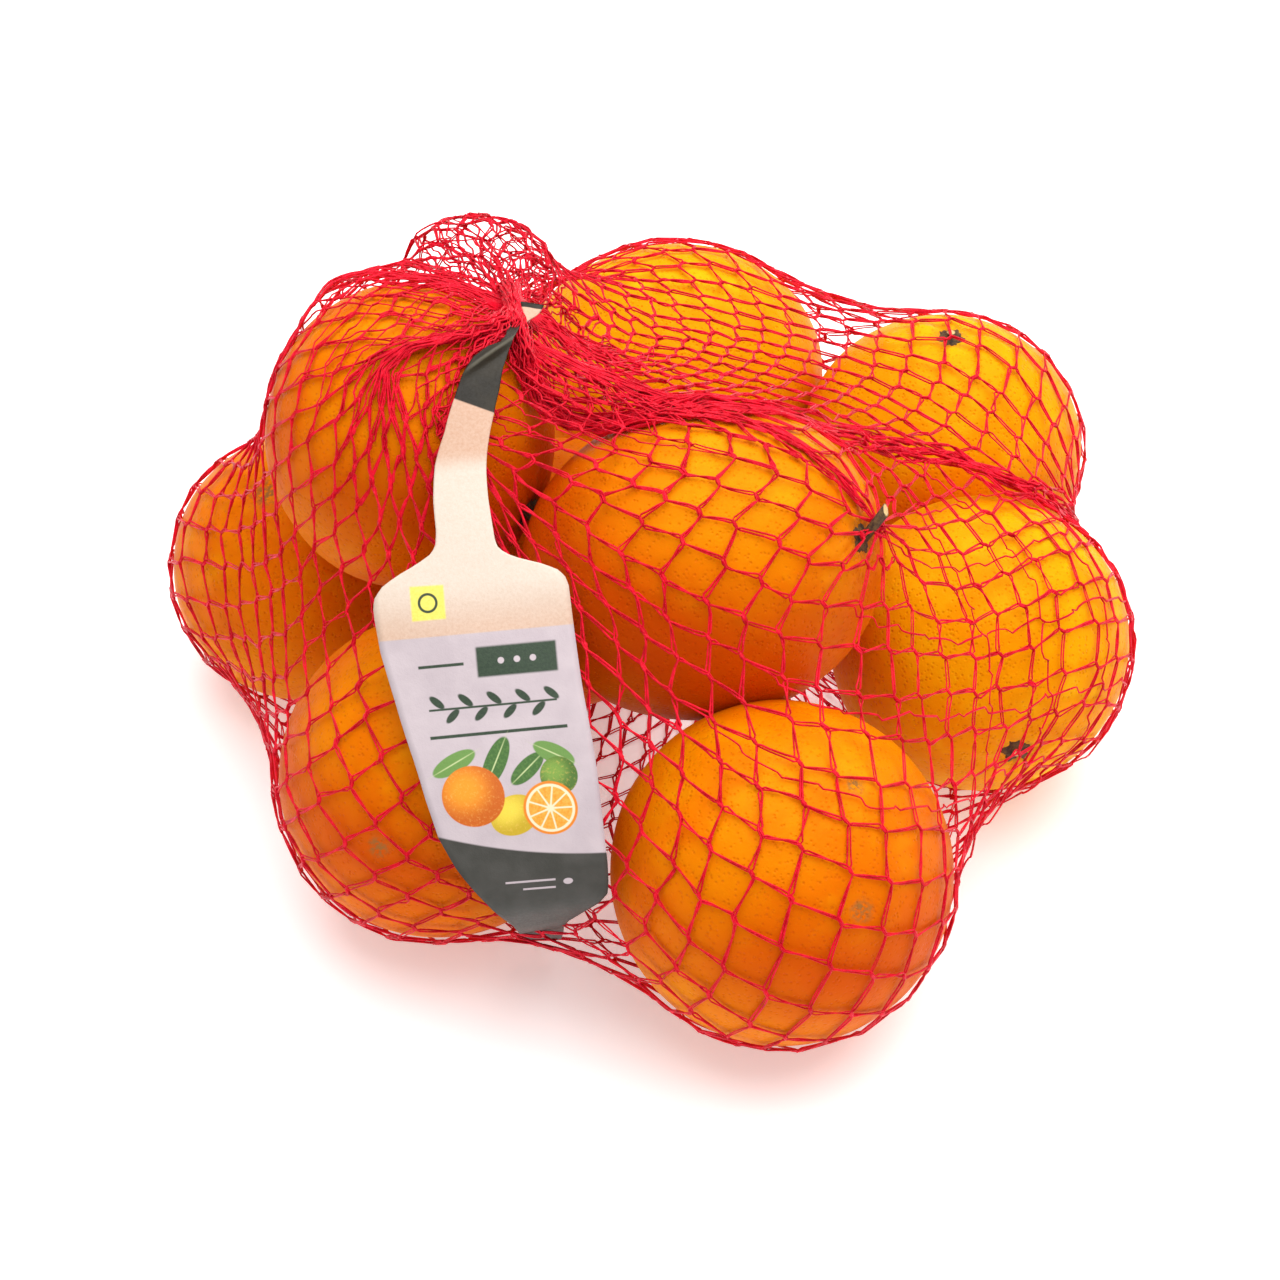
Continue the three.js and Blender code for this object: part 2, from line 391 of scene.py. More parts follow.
def net_material():
    """Crimson plastic thread: two shades, fine drawn fibres with painted pink glints, a soft gloss."""
    n = Nodes("net")
    where = n.coords()
    fibre = n.noise(2600, 2, 0.6, where)
    colour = n.mottled(n.noise(260, 3, 0.6, where), (198, 4, 30), (234, 20, 48), 0.65, 0.35)
    # the pale pink flecks along the fibres are painted glints
    return n.surface({
        "Base Color": n.mix(n.ramp(fibre, 0.56, 0.72, 0.0, 0.6), colour, srgb(246, 72, 96)),
        "Roughness": n.ramp(fibre, 0.3, 0.7, 0.3, 0.5),
        "Specular IOR Level": 0.3,
        "Specular Tint": (1.0, 0.35, 0.4, 1.0),
        "Normal": n.bump(fibre, 0.00012, 0.7),
    })


# ---- the net's shape
def directions_across(normal, right, front):
    """The two directions at right angles to a normal, to the right and to the front."""
    a = unit(right - normal * (right @ normal))
    b = np.cross(normal, a)
    return a, -b if b @ front < 0 else b


def net_rings():
    """Angles of every node, the net's right and front, and the two gathers' fixed nodes."""
    rows = np.arange(ROWS + 1)[:, None]
    angle = 2 * np.pi * (np.arange(COLUMNS)[None, :] + 0.5 * (rows % 2)) / COLUMNS
    right, front = directions_across(unit(BOTTOM_GATHER - TOP_GATHER), np.array([1.0, 0, 0]), (0, -0.7, 0.7))

    def ring(at, normal, half, row):
        a, b = directions_across(unit(normal), right, front)
        p = angle[row]
        return at + half[0] * np.cos(p)[:, None] * a + half[1] * np.sin(p)[:, None] * b

    top = ring(TOP_GATHER, TOP_GATHER_NORMAL, TOP_GATHER_HALF, 0)
    bottom = ring(BOTTOM_GATHER, BOTTOM_GATHER_NORMAL, BOTTOM_GATHER_HALF, ROWS)
    return angle, right, front, top, bottom


def second_lower(rows, way):
    """Values kept at second lower neighbours moved to the nodes above them, or with way -1 back again."""
    out = np.empty_like(rows)
    out[0::2] = np.roll(rows[0::2], way, axis=1)
    out[1::2] = np.roll(rows[1::2], -way, axis=1)
    return out


class Fold:
    """Columns of the net that are drawn together along a line."""

    def __init__(self, rng, line, middle, columns, rows, apart, rough, pull):
        self.line = curve_through(line, 20)
        aside = unit(np.cross(np.gradient(self.line, axis=0), self.line - NET_START_CENTRE))
        order = np.arange(columns) - columns // 2
        self.columns = (order + middle) % COLUMNS
        self.rows = np.arange(1, rows + 1)
        width = np.interp(np.linspace(0, 1, len(self.line)), np.linspace(0, 1, len(apart)), apart)
        self.row_of_points = self.line[:, None] + aside[:, None] * (width[:, None] * order)[..., None]
        self.offset = rng.normal(size=(ROWS + 1, columns, 3))[1:rows + 1] * rough
        self.pull = pull * np.minimum(1, (rows - self.rows) / FOLD_FADE)[:, None, None]

    def draw(self, x, share):
        here = x[self.rows[:, None], self.columns]
        away = np.linalg.norm(here.mean(axis=1)[:, None] - self.line, axis=-1)
        goal = self.row_of_points[away.argmin(axis=1)] + self.offset
        x[self.rows[:, None], self.columns] += share * self.pull * (goal - here)


def hook(x, share):
    """Draws the net towards the cut stem."""
    away = HOOK - x
    near = np.clip(1 - np.linalg.norm(away, axis=-1, keepdims=True) / HOOK_REACH, 0, 1)
    x += share * HOOK_PULL * near ** 2 * away


def wide_tube(angle, right, front):
    """The net before it shrinks: a wide tube bent from the upper gather round the heap to the lower one."""
    start, end = unit(TOP_GATHER - NET_START_CENTRE), unit(BOTTOM_GATHER - NET_START_CENTRE)
    pole, middle = unit(start - end), unit(start + end)
    bend = 1 / np.tan(np.arccos(start @ middle))
    right, front = directions_across(pole, right, front)
    polar = np.pi * np.linspace(0, 1, ROWS + 1)[:, None, None]
    around = np.cos(angle)[..., None] * right + np.sin(angle)[..., None] * front
    way = unit(np.cos(polar) * pole + np.sin(polar) * around + middle * bend)
    return NET_START_CENTRE + NET_START_RADIUS * way


def settle_net():
    """Lets the wide tube of diamond cells shrink on to the fruit."""
    rng = np.random.default_rng(7)
    angle, right, front, top, bottom = net_rings()
    solids = balls(NODE_GAP) + [Ball(*slack, 0) for slack in SLACKS]
    x = wide_tube(angle, right, front)
    x[..., 2] = np.maximum(x[..., 2], FLOOR_GAP)
    x[0], x[-1] = top, bottom
    speed = np.zeros_like(x)
    uneven = 1 + SIDE_UNEVEN * rng.uniform(-1, 1, (2, ROWS, COLUMNS, 1))
    folds = [Fold(rng, **fold) for fold in FOLDS]
    for step in range(NET_STEPS):
        shrunk = min(1.0, step / (NET_STEPS * NET_SHRINKING))
        scale = NET_START_SCALE + (1 - NET_START_SCALE) * shrunk
        folded = np.clip((step / NET_STEPS - FOLD_START) / (FOLD_FULL - FOLD_START), 0, 1)
        speed *= NET_DAMPING
        speed[..., 2] -= NET_WEIGHT * shrunk
        before = x.copy()
        x = x + speed
        for _ in range(NET_PASSES):
            upper = x[:-1]
            moved = np.zeros_like(x)
            for family in (0, 1):
                lower = x[1:] if family == 0 else second_lower(x[1:], 1)
                d = lower - upper
                length = np.linalg.norm(d, axis=-1, keepdims=True) + 1e-9
                tight = SIDE_TIGHT * scale * uneven[family]
                loose = SIDE_SLACK * scale * uneven[family]
                hard = length - np.minimum(length, tight)
                soft = length - np.where(length > loose, loose, np.maximum(length, SIDE_LEAST))
                c = (hard * 0.5 + soft * NET_TENSION) / length * d
                moved[:-1] += c * 0.5
                moved[1:] -= (c if family == 0 else second_lower(c, -1)) * 0.5
            x = x + moved
            if folded > 0:
                for fold in folds:
                    fold.draw(x, folded)
                hook(x, folded)
            for solid in solids:
                solid.push(x)
            x[..., 2] = np.maximum(x[..., 2], FLOOR_GAP)
            x[0], x[-1] = top, bottom
        speed = x - before
        size = np.linalg.norm(speed, axis=-1, keepdims=True)
        speed = np.where(size > NET_FASTEST, speed / np.maximum(size, 1e-9) * NET_FASTEST, speed)
    return x


def net_normals(x):
    """Outward direction of the net at every node."""
    normal = unit(np.cross(np.gradient(x, axis=0), np.roll(x, -1, axis=1) - np.roll(x, 1, axis=1)))
    inward = np.sum(normal * (x - NET_START_CENTRE), axis=-1, keepdims=True) < 0
    normal = np.where(inward, -normal, normal)
    for _ in range(2):
        normal = unit(normal + 0.5 * np.roll(normal, 1, axis=1) + 0.5 * np.roll(normal, -1, axis=1))
    return normal


def diagonals(grid):
    """The grid's values along the two families of strands: an array (strand, row, value)."""
    rows = np.arange(ROWS + 1)
    out = []
    for shift in (rows // 2, -((rows + 1) // 2)):
        columns = (np.arange(COLUMNS)[:, None] + shift[None, :]) % COLUMNS
        out.append(grid[rows[None, :], columns])
    return np.concatenate(out)


# ---- the net's threads
def path_frames(paths, normals):
    tangent = unit(np.gradient(paths, axis=1))
    side = unit(np.cross(tangent, normals))
    return side, np.cross(side, tangent)


def add_threads(name, paths, normals, radii, material):
    """Round threads along paths (thread, point, xyz), closed at both ends."""
    side, up = path_frames(paths, normals)
    count, length, _ = paths.shape
    turn = 2 * np.pi * np.arange(THREAD_SIDES) / THREAD_SIDES
    ring = np.cos(turn)[:, None] * side[:, :, None, :] + np.sin(turn)[:, None] * up[:, :, None, :]
    points = paths[:, :, None, :] + ring * radii[..., None, None]
    points[..., 2] = np.maximum(points[..., 2], THREAD_LOWEST)
    size = length * THREAD_SIDES
    quads = closed_rings(length, THREAD_SIDES)[0] + (np.arange(count) * size)[:, None, None]
    caps = []
    for start in range(0, count * size, size):
        caps.append(list(range(start, start + THREAD_SIDES))[::-1])
        caps.append(list(range(start + size - THREAD_SIDES, start + size)))
    add_piece(name, points, quads.reshape(-1, 4).tolist() + caps, material, "net", "filled_net")


def strand_curves(points, ease=0.5):
    """Smooth curves through points (strand, point, value), in turn a joint's two ends."""
    slope = ease * np.gradient(points, axis=1)

    def between(first, steps):
        ends = (points[:, first:-1:2], points[:, first + 1::2], slope[:, first:-1:2], slope[:, first + 1::2])
        return hermite(*(v[:, :, None, :] for v in ends), steps[None, None, :, None])

    joint, side = between(0, JOINT_STEPS), between(1, SIDE_STEPS)
    inner = np.concatenate([joint[:, :-1], side], axis=2).reshape(len(points), -1, points.shape[2])
    return np.concatenate([inner, joint[:, -1], points[:, -1:]], axis=1)


def held(values):
    """Values at joints, the same at a joint's two ends, along the strands' steps."""
    return strand_curves(np.repeat(diagonals(values), 2, axis=1), 0.0)


def per_side(values, length):
    """One value for each strand and row, held along the row's steps."""
    return np.repeat(values, ROW_STEPS, axis=1)[:, :length]


def build_net(material):
    """Makes each strand a pair of threads that twist, wave and part between knots; returns their points."""
    rng = np.random.default_rng(11)
    grid = settle_net()
    normals = net_normals(grid)
    spacing = np.linalg.norm(np.roll(grid, -1, axis=1) - grid, axis=-1)
    crowd = np.clip(spacing / CROWDED, 0.25, 1.0)
    half = JOINT_HALF * crowd[..., None] * unit(np.gradient(grid, axis=0))
    centres, halves = diagonals(grid), diagonals(half)
    ends = np.stack([centres - halves, centres + halves], axis=2)
    paths = strand_curves(ends.reshape(len(ends), -1, 3))
    ups = unit(held(normals))
    crowd = held(crowd[..., None])[..., 0]
    side, up = path_frames(paths, ups)
    shape = paths.shape[:2]
    # slack sides wave more
    reach = np.linalg.norm(np.diff(centres, axis=1), axis=-1)
    slack = np.clip((WAVE_FROM - reach) / WAVE_RANGE, 0, 1)
    slack = per_side(np.concatenate([slack, np.zeros((len(reach), 1))], axis=1), shape[1])
    wave = (WAVE_TAUT + WAVE_SLACK * slack) * np.maximum(crowd, 0.45)
    paths = paths + side * (spread(rng, shape, 1.0) * wave)[..., None]
    paths = paths + up * (spread(rng, shape, 0.5) * wave)[..., None]
    # the two threads of a pair part near a side's ends; 27/4 makes the curve's highest value 1
    steps = np.concatenate([np.ones(len(JOINT_STEPS)), np.abs(2 * SIDE_STEPS - 1)])
    near = np.tile(steps, ROWS + 1)[:shape[1]]
    opening = per_side(rng.uniform(0.0, 1.0, (shape[0], ROWS + 1)) ** 1.5, shape[1])
    gap = (TWIN_GAP + TWIN_BULGE * 27 / 4 * (near ** 2 * (1 - near))[None, :] * opening) * crowd
    twist = per_side(rng.choice([1.0, 1.0, 2.0], (shape[0], ROWS + 1)), shape[1]) / ROW_STEPS
    phase = np.pi * np.cumsum(twist, axis=1) + spread(rng, shape, 0.25)
    solids = balls(THREAD_GAP)
    pair = []
    for sign in (1, -1):
        offset = np.cos(phase)[..., None] * side + 0.75 * np.sin(phase)[..., None] * up
        line = paths + sign * 0.5 * gap[..., None] * offset
        for solid in solids:
            solid.push(line)
        line[..., 2] = np.maximum(line[..., 2], THREAD_RADIUS + 0.05)
        pair.append((line, ups, THREAD_RADIUS * (1 + spread(rng, shape, 0.1))))
    share = 2 * COLUMNS // STRAND_PARTS
    for part in range(STRAND_PARTS):
        rows = slice(part * share, (part + 1) * share)
        line, top, radii = (np.concatenate([values[rows] for values in kind]) for kind in zip(*pair))
        add_threads(f"net_strands_{part + 1}", line, top, radii, material)
    build_knots(grid, normals, spacing, material)
    for name, pleat in PLEATS.items():
        build_pleats(name, paths, ups, material, *pleat)
    return np.concatenate([line for line, _, _ in pair]).reshape(-1, 3)


def build_knots(grid, normals, spacing, material):
    """Where two strands are knitted together: a short lumpy spindle along the net's length."""
    rng = np.random.default_rng(5)
    along = unit(np.gradient(grid, axis=0))
    side = unit(np.cross(along, normals))
    up = np.cross(side, along)
    keep = spacing > KNOT_ROOM
    keep[0] = keep[-1] = False
    size = np.clip(spacing / KNOT_SPACING, *KNOT_SIZES)[keep]
    at, along, side, up = grid[keep], along[keep], side[keep], up[keep]
    count = len(at)
    polar = np.linspace(0, np.pi, KNOT_RINGS + 2)[1:-1, None]
    turn = 2 * np.pi * np.arange(KNOT_SIDES) / KNOT_SIDES
    uneven = rng.uniform(-KNOT_UNEVEN, KNOT_UNEVEN, (count, KNOT_RINGS, KNOT_SIDES))
    reach = (1 + uneven) * size[:, None, None]
    across, lengthwise = reach * np.sin(polar), reach * np.cos(polar)
    body = at[:, None, None, :]
    shares = (across * np.cos(turn), across * np.sin(turn), lengthwise)
    for share, axis, half in zip(shares, (side, up, along), KNOT_HALF):
        body = body + share[..., None] * axis[:, None, None, :] * half
    tip = KNOT_TIP * size[:, None] * along
    points = np.concatenate([body.reshape(count, -1, 3), np.stack([at + tip, at - tip], axis=1)], axis=1)
    quads, fans = closed_rings(KNOT_RINGS, KNOT_SIDES)
    base = np.arange(count)[:, None, None] * points.shape[1]
    quads = quads[:, [0, 3, 2, 1]] + base
    faces = quads.reshape(-1, 4).tolist() + (fans[:, [0, 2, 1]] + base).reshape(-1, 3).tolist()
    add_piece("net_knots", points, faces, material, "net", "filled_net")


def build_pleats(name, paths, ups, material, strands, first, rows, shares, stray, lift):
    """A stretch of the net's second layer; each strand runs out of and into one of the first layer."""
    rng = np.random.default_rng(17)
    part = slice(max(0, first - PLEAT_MERGE) * ROW_STEPS, rows * ROW_STEPS + 1)
    row = np.arange(part.start, part.stop) / ROW_STEPS
    strands = np.array(strands)
    beside = np.where(strands % COLUMNS == COLUMNS - 1, strands + 1 - COLUMNS, strands + 1)
    lines, tops = [], []
    for share in shares:
        last = rng.uniform(rows - 3, rows, (len(strands), 1))
        leave = smoothstep(first - PLEAT_MERGE, first, row)
        w = (share * leave * (1 - smoothstep(last - PLEAT_MERGE, last, row[None, :])))[..., None]
        line = paths[strands, part] * (1 - w) + paths[beside, part] * w
        top = unit(ups[strands, part])
        side, up = path_frames(line, top)
        free = smoothstep(first, first + 1.5, row) * (1 - smoothstep(last - 0.5, last, row[None, :]))
        shape = line.shape[:2]
        line = line + side * (spread(rng, shape, stray, PLEAT_WANDER) * free)[..., None]
        line = line + up * ((lift + spread(rng, shape, 0.7 * stray, PLEAT_WANDER)) * free)[..., None]
        lines.append(line)
        tops.append(top)
    line = np.concatenate(lines)
    for solid in balls(THREAD_GAP):
        solid.push(line)
    radii = THREAD_RADIUS * (1 + spread(rng, line.shape[:2], 0.12))
    add_threads(f"net_pleats_{name}", line, np.concatenate(tops), radii, material)


# ---- the fruit
# Each fruit's stem end, how it shows, and marks on the peel: direction, radius and strength.
STEMS = {
    "top_left": ((0.82, -0.53, -0.22), "button"),
    "top_front": ((0.895, -0.208, 0.394), "stub"),
    "front": ((-0.35, 0.6, -0.4), "button", ((0.4, -0.13, 0.91), 3.2, 0.9)),
    "front_left": ((0.3, 0.85, -0.3), "button"),
    "left": ((-0.2, -0.18, 0.96), "scar"),
    "right": ((0.19, -0.98, -0.05), "button"),
    "back_right": ((0.04, 0.12, 0.99), "button"),
    "back": ((0.3, 0.9, 0.25), "button"),
    "middle": ((-0.3, 0.3, 0.9), "button"),
}
STUB_LEAN = np.array([-0.15, 0.75, 0.55])  # which way the stub leans on the peel
STEM_SPOKES = 40
# Rings of the calyx from its rim inwards: share of its radius, and height above the peel.
CALYX = [(1.0, -0.5), (0.96, 0.3), (0.78, 0.75), (0.55, 0.95), (0.38, 1.1)]
# Rings of the stem on it: share of its radius, height, share of its length on top, and cut or not.
STALK = [(1.0, 1.3, 0, 0), (0.95, 1.0, 0.5, 0), (1.05, 1.1, 1, 0), (0.75, 1.15, 1, 1), (0.3, 1.05, 1, 1)]
# How red each fruit is, partly its own tone and partly painted shade for fruit that lie in shade, and the
# way it grows redder: painted shade on its side away from the light.
REDNESS_AND_SHADE = {
    "top_left": (0.22, (0.1, -0.1, -0.1)),
    "top_front": (0.1, (-0.3, -0.15, -0.1)),
    "front": (0.14, (0.05, -0.18, -0.15)),
    "front_left": (0.15, (-0.05, -0.1, -0.1)),
    "left": (-0.18, (0.1, 0.0, 0.0)),
    "right": (-0.34, (-0.05, 0.0, -0.08)),
    "back_right": (-0.16, (0, 0, 0)),
    "back": (-0.22, (0, 0, 0)),
    "middle": (0.3, (0, 0, 0)),
}
SHADE_BAND, SHADE_NEAR = 0.56, 0.2  # painted shade: how much redder it is in a band below its middle, and beside its neighbours
# The fruit on the right and at the back, towards the key light, take the yellower peel: partly their own
# tone, partly painted light.
YELLOWER = ("right", "back", "back_right")


def sphere_mesh(level):
    bm = bmesh.new()
    bmesh.ops.create_icosphere(bm, subdivisions=level, radius=1.0)
    points = np.array([v.co[:] for v in bm.verts])
    faces = [[v.index for v in f.verts] for f in bm.faces]
    bm.free()
    return unit(points), faces


def soft_lumps(points, rng, waves, low, high):
    """A smooth random field on the unit sphere, about -1 to 1."""
    out = np.zeros(len(points))
    for _ in range(waves):
        k = unit(rng.normal(size=3)) * rng.uniform(low, high)
        out += np.sin(points @ k + rng.uniform(0, 2 * np.pi))
    return out / np.sqrt(waves)


def peel_blush(name, points, direction, rng):
    """How much redder the peel is: its own tone in random patches, and painted shade in a band below the
    fruit's middle, on its side away from the light, and towards its neighbours.
    """
    height = direction @ unit((0.15, 0.1, 1.0))
    band = smoothstep(-0.55, 0.12, height) - smoothstep(0.12, 0.75, height)
    near = np.zeros(len(points))
    for other, (at, radius, *_) in FRUITS.items():
        if other != name:
            gap = np.linalg.norm(points - np.array(at), axis=1) - radius
            near = np.maximum(near, 1 - smoothstep(0, 16, gap))
    patch = 0.12 * soft_lumps(direction, rng, 8, 2.0, 4.5)
    amount, towards = REDNESS_AND_SHADE[name]
    # the band, the side away from the light and the nearness to neighbours are painted shade; the patches
    # are the peel's own tone
    return np.clip(amount + direction @ towards + SHADE_BAND * band + SHADE_NEAR * near + patch, 0, 0.9)


def build_orange(name, index, peel, stem_brown):
    ball, radius = Ball(*FRUITS[name], 0), FRUITS[name][1]
    stem, kind, *marks = STEMS[name]
    stem = unit(stem)
    stem_frame = frame_of(stem)
    rng = np.random.default_rng(100 + index)
    way, faces = sphere_mesh(5 if name == HIDDEN else 6)
    uneven = 1 + 0.006 * soft_lumps(way, rng, 7, 1.5, 4.0) + 0.0022 * soft_lumps(way, rng, 16, 8, 16) - 0.004
    world = (way * ball.half) @ ball.turn
    direction = unit(world)

    def distance(towards):
        """Along the peel, from the place that lies that way."""
        return np.arccos(np.clip(direction @ unit(towards), -1, 1)) * radius

    # the peel dips round the stem end, with furrows, and a little at the other end
    away, tail = distance(stem), distance(-stem)
    around = np.arctan2(direction @ stem_frame[1], direction @ stem_frame[0])
    furrow = np.cos(8 * around + 1.3 * np.sin(2 * around + index)) * np.exp(-((away - 7.5) / 4.0) ** 2)
    dip = -1.5 * np.exp(-(away / 4.6) ** 2) + 0.35 * furrow - 0.7 * np.exp(-(tail / 2.6) ** 2)
    points = world * uneven[:, None] + direction * dip[:, None] + ball.centre
    scar = 0.9 * (1 - smoothstep(1.6, 3.4, tail)) + 0.55 * (1 - smoothstep(3.0, 6.5, away))
    if kind == "scar":
        scar += 1 - smoothstep(1.0, 3.0, away)
    for towards, size, strength in marks:
        scar += strength * (1 - smoothstep(size * 0.4, size, distance(towards)))
    # the peel's redness, with its painted shade, is kept at its points
    add_piece(f"orange_{name}", points, faces, peel, "orange_peel", "filled_net",
              scar=np.clip(scar, 0, 1), blush=peel_blush(name, points, direction, rng))
    if kind != "scar":
        build_stem(name, kind == "stub", points[np.argmin(away)], stem_frame, rng, stem_brown)


def build_stem(name, stub, foot, axes, rng, material):
    """The calyx, a lobed dry button, and the stem's end on it: a cut stub, or hardly any."""
    radius = rng.uniform(3.6, 4.4)
    turn = 2 * np.pi * np.arange(STEM_SPOKES) / STEM_SPOKES
    lobes = 1 + 0.22 * np.cos(5 * turn + rng.uniform(0, 6)) + 0.08 * rng.normal(size=STEM_SPOKES)
    tall, neck = (6.0, 1.5) if stub else (rng.uniform(0.6, 1.2), 1.1)
    lean = STUB_LEAN @ axes[:2].T if stub else np.zeros(2)
    reach, height, cut = [], [], []
    for share, up in CALYX:
        reach.append(share * radius * lobes ** share)
        height.append(up + 0.12 * rng.normal(size=STEM_SPOKES))
        cut.append(0.0)
    for share, up, rise, is_cut in STALK:
        reach.append(neck * share * (1 + 0.06 * rng.normal(size=STEM_SPOKES)))
        height.append(np.full(STEM_SPOKES, up + rise * tall))
        cut.append(float(is_cut))
    reach, height = np.array(reach), np.array(height)
    sway = np.maximum(0, height - 1)
    sideways = [reach * np.cos(turn) + lean[0] * sway, reach * np.sin(turn) + lean[1] * sway, height]
    points = foot
    for amount, axis in zip(sideways, axes):
        points = points + amount[..., None] * axis
    tips = [foot - 0.5 * axes[2], points[-1].mean(axis=0)]
    quads, fans = closed_rings(len(cut), STEM_SPOKES)
    points = np.concatenate([points.reshape(-1, 3), tips])
    cut = np.concatenate([np.repeat(cut, STEM_SPOKES), [0.0, 1.0 if stub else 0.4]])
    faces = quads.tolist() + fans.tolist()
    add_piece(f"stem_{name}", points, faces, material, "orange_stem", "filled_net", cut=cut)


# ---- the card label
# Its middle line, as (across, up the slope, out of the slope); the slope leans back by 45 degrees.
LABEL_PATH = [
    (-30.7, 101.5, 63.1), (-31.5, 93.6, 75.1), (-39.7, 75.6, 95.1), (-42.6, 61.7, 99.1),
    (-41.3, 41.9, 102.1), (-38.9, 26.9, 104.1), (-35.2, 7.3, 106.1), (-31.4, -8.7, 107.1),
    (-27.6, -27.3, 103.1), (-25.6, -38.5, 91.1), (-24.6, -46.6, 75.1), (-24.4, -51.0, 63.1),
]
SLOPE = np.sqrt(0.5)  # the sine and cosine of its lean
# Its cut: distance from the top, and the left and right edges.
LABEL_EDGE = [
    (0, -1.8, 1.8), (12, -1.4, 1.4), (16.5, -0.6, 1.3), (19.8, -0.9, 1.5), (23.1, -3.1, 1.9),
    (28.6, -4.9, 2.6), (35, -5.3, 4.0), (42.8, -4.8, 5.1), (51, -4.6, 5.8), (58.2, -5.9, 6.0),
    (66, -6.4, 6.3), (73, -6.3, 6.8), (76.3, -6.8, 7.0), (78, -8.3, 7.5), (79.7, -11.4, 9.0),
    (81.5, -16.0, 12.2), (83.3, -19.8, 16.5), (85.5, -22.1, 20.2), (87.5, -22.8, 21.8), (90, -23.0, 22.3),
    (98, -22.9, 21.9), (109, -21.6, 21.4), (122, -20.3, 20.8), (132, -19.6, 20.2), (141.7, -18.4, 19.4),
    (150, -15.8, 18.7), (156, -13.4, 18.4), (163, -10.8, 17.8), (167, -9.3, 17.2), (170.3, -8.0, 15.0),
    (174, -6.6, 11.0), (178, -5.4, 7.4), (181.3, -5.0, 6.0), (187, -4.6, 5.4), (197, -3.8, 4.2),
]
LABEL_STATIONS = 180
LABEL_LINES = 28
LABEL_THICKNESS = 0.32
LABEL_CLEARANCE = 0.35
LABEL_FREE = (16.0, 181.0)  # the stretch that lies on the outside of the net
LABEL_SINK = 6.0  # how far it may lie below its middle line
# The tongue's lengthwise fold: the line that it runs along, and the stretch over which it fades.
FOLD_DOWN, FOLD_ACROSS, FOLD_AT = 0.333, 0.943, -6.6
TONGUE_FOLD = (22, 44)
# Small folded ends of the card beside the gather: upper left, upper right, lower right and lower left
# corner, the stretch of the print that they show, and how far they bow.
FLAPS = {
    "right": ([(-29.6, 22.5, 121.6), (-24, 21.7, 121.2), (-25.8, 17.6, 121.6), (-28.6, 14.6, 121.4)],
              (40, 49), 0.5),
    "left": ([(-34.8, 10.4, 121.6), (-32.4, 11.2, 121.8), (-32.5, 8.9, 121.8), (-34.3, 8.6, 121.6)],
             (66, 70), 0.2),
}
FLAP_ROWS, FLAP_LINES = 12, 9
# The grid on which the net's height out of the slope is kept.
GRID_CELL = 1.5
GRID_CELLS = 220
GRID_REACH = 165  # how far it reaches to the left and down


def grid_places(*places):
    """The grid's rows and columns at places on the slope, across and along it."""
    return tuple(np.clip(((v + GRID_REACH) / GRID_CELL).astype(int), 0, GRID_CELLS - 1) for v in places)


def net_heights(points):
    """How far the net stands out of the slope in and round each cell of the grid."""
    across, y, z = points.T
    grid = np.full((GRID_CELLS, GRID_CELLS), -1e3)
    np.maximum.at(grid, grid_places(across, (y + z) * SLOPE), (z - y) * SLOPE + THREAD_RADIUS)
    wide = grid.copy()
    for i, j in np.ndindex(3, 3):
        wide = np.maximum(wide, np.roll(grid, (i - 1, j - 1), (0, 1)))
    return wide


def card(name, sheet, outward, along, across, material):
    """Card with thickness from a grid of points; keeps its flat coordinates for the print."""
    n, m = sheet.shape[:2]
    normals = unit(np.cross(np.gradient(sheet, axis=0), np.gradient(sheet, axis=1)))
    if np.sum(normals @ unit(outward)) < 0:
        normals = -normals
    half = normals * LABEL_THICKNESS / 2
    points = np.concatenate([(sheet + half).reshape(-1, 3), (sheet - half).reshape(-1, 3)])
    i, j = np.meshgrid(np.arange(n - 1), np.arange(m - 1), indexing="ij")
    a = (i * m + j).ravel()
    face = np.stack([a, a + 1, a + m + 1, a + m], axis=-1)
    back = face[:, ::-1] + n * m
    rim = np.concatenate([np.arange(m), np.arange(1, n) * m + m - 1, (n - 1) * m + np.arange(m - 2, -1, -1),
                          np.arange(n - 2, 0, -1) * m])
    after = np.roll(rim, -1)
    side = np.stack([after, rim, rim + n * m, after + n * m], axis=-1)
    add_piece(name, points, np.concatenate([face, back, side]).tolist(), material, "label", "label",
              along=np.tile(along.ravel(), 2), across=np.tile(across.ravel(), 2))


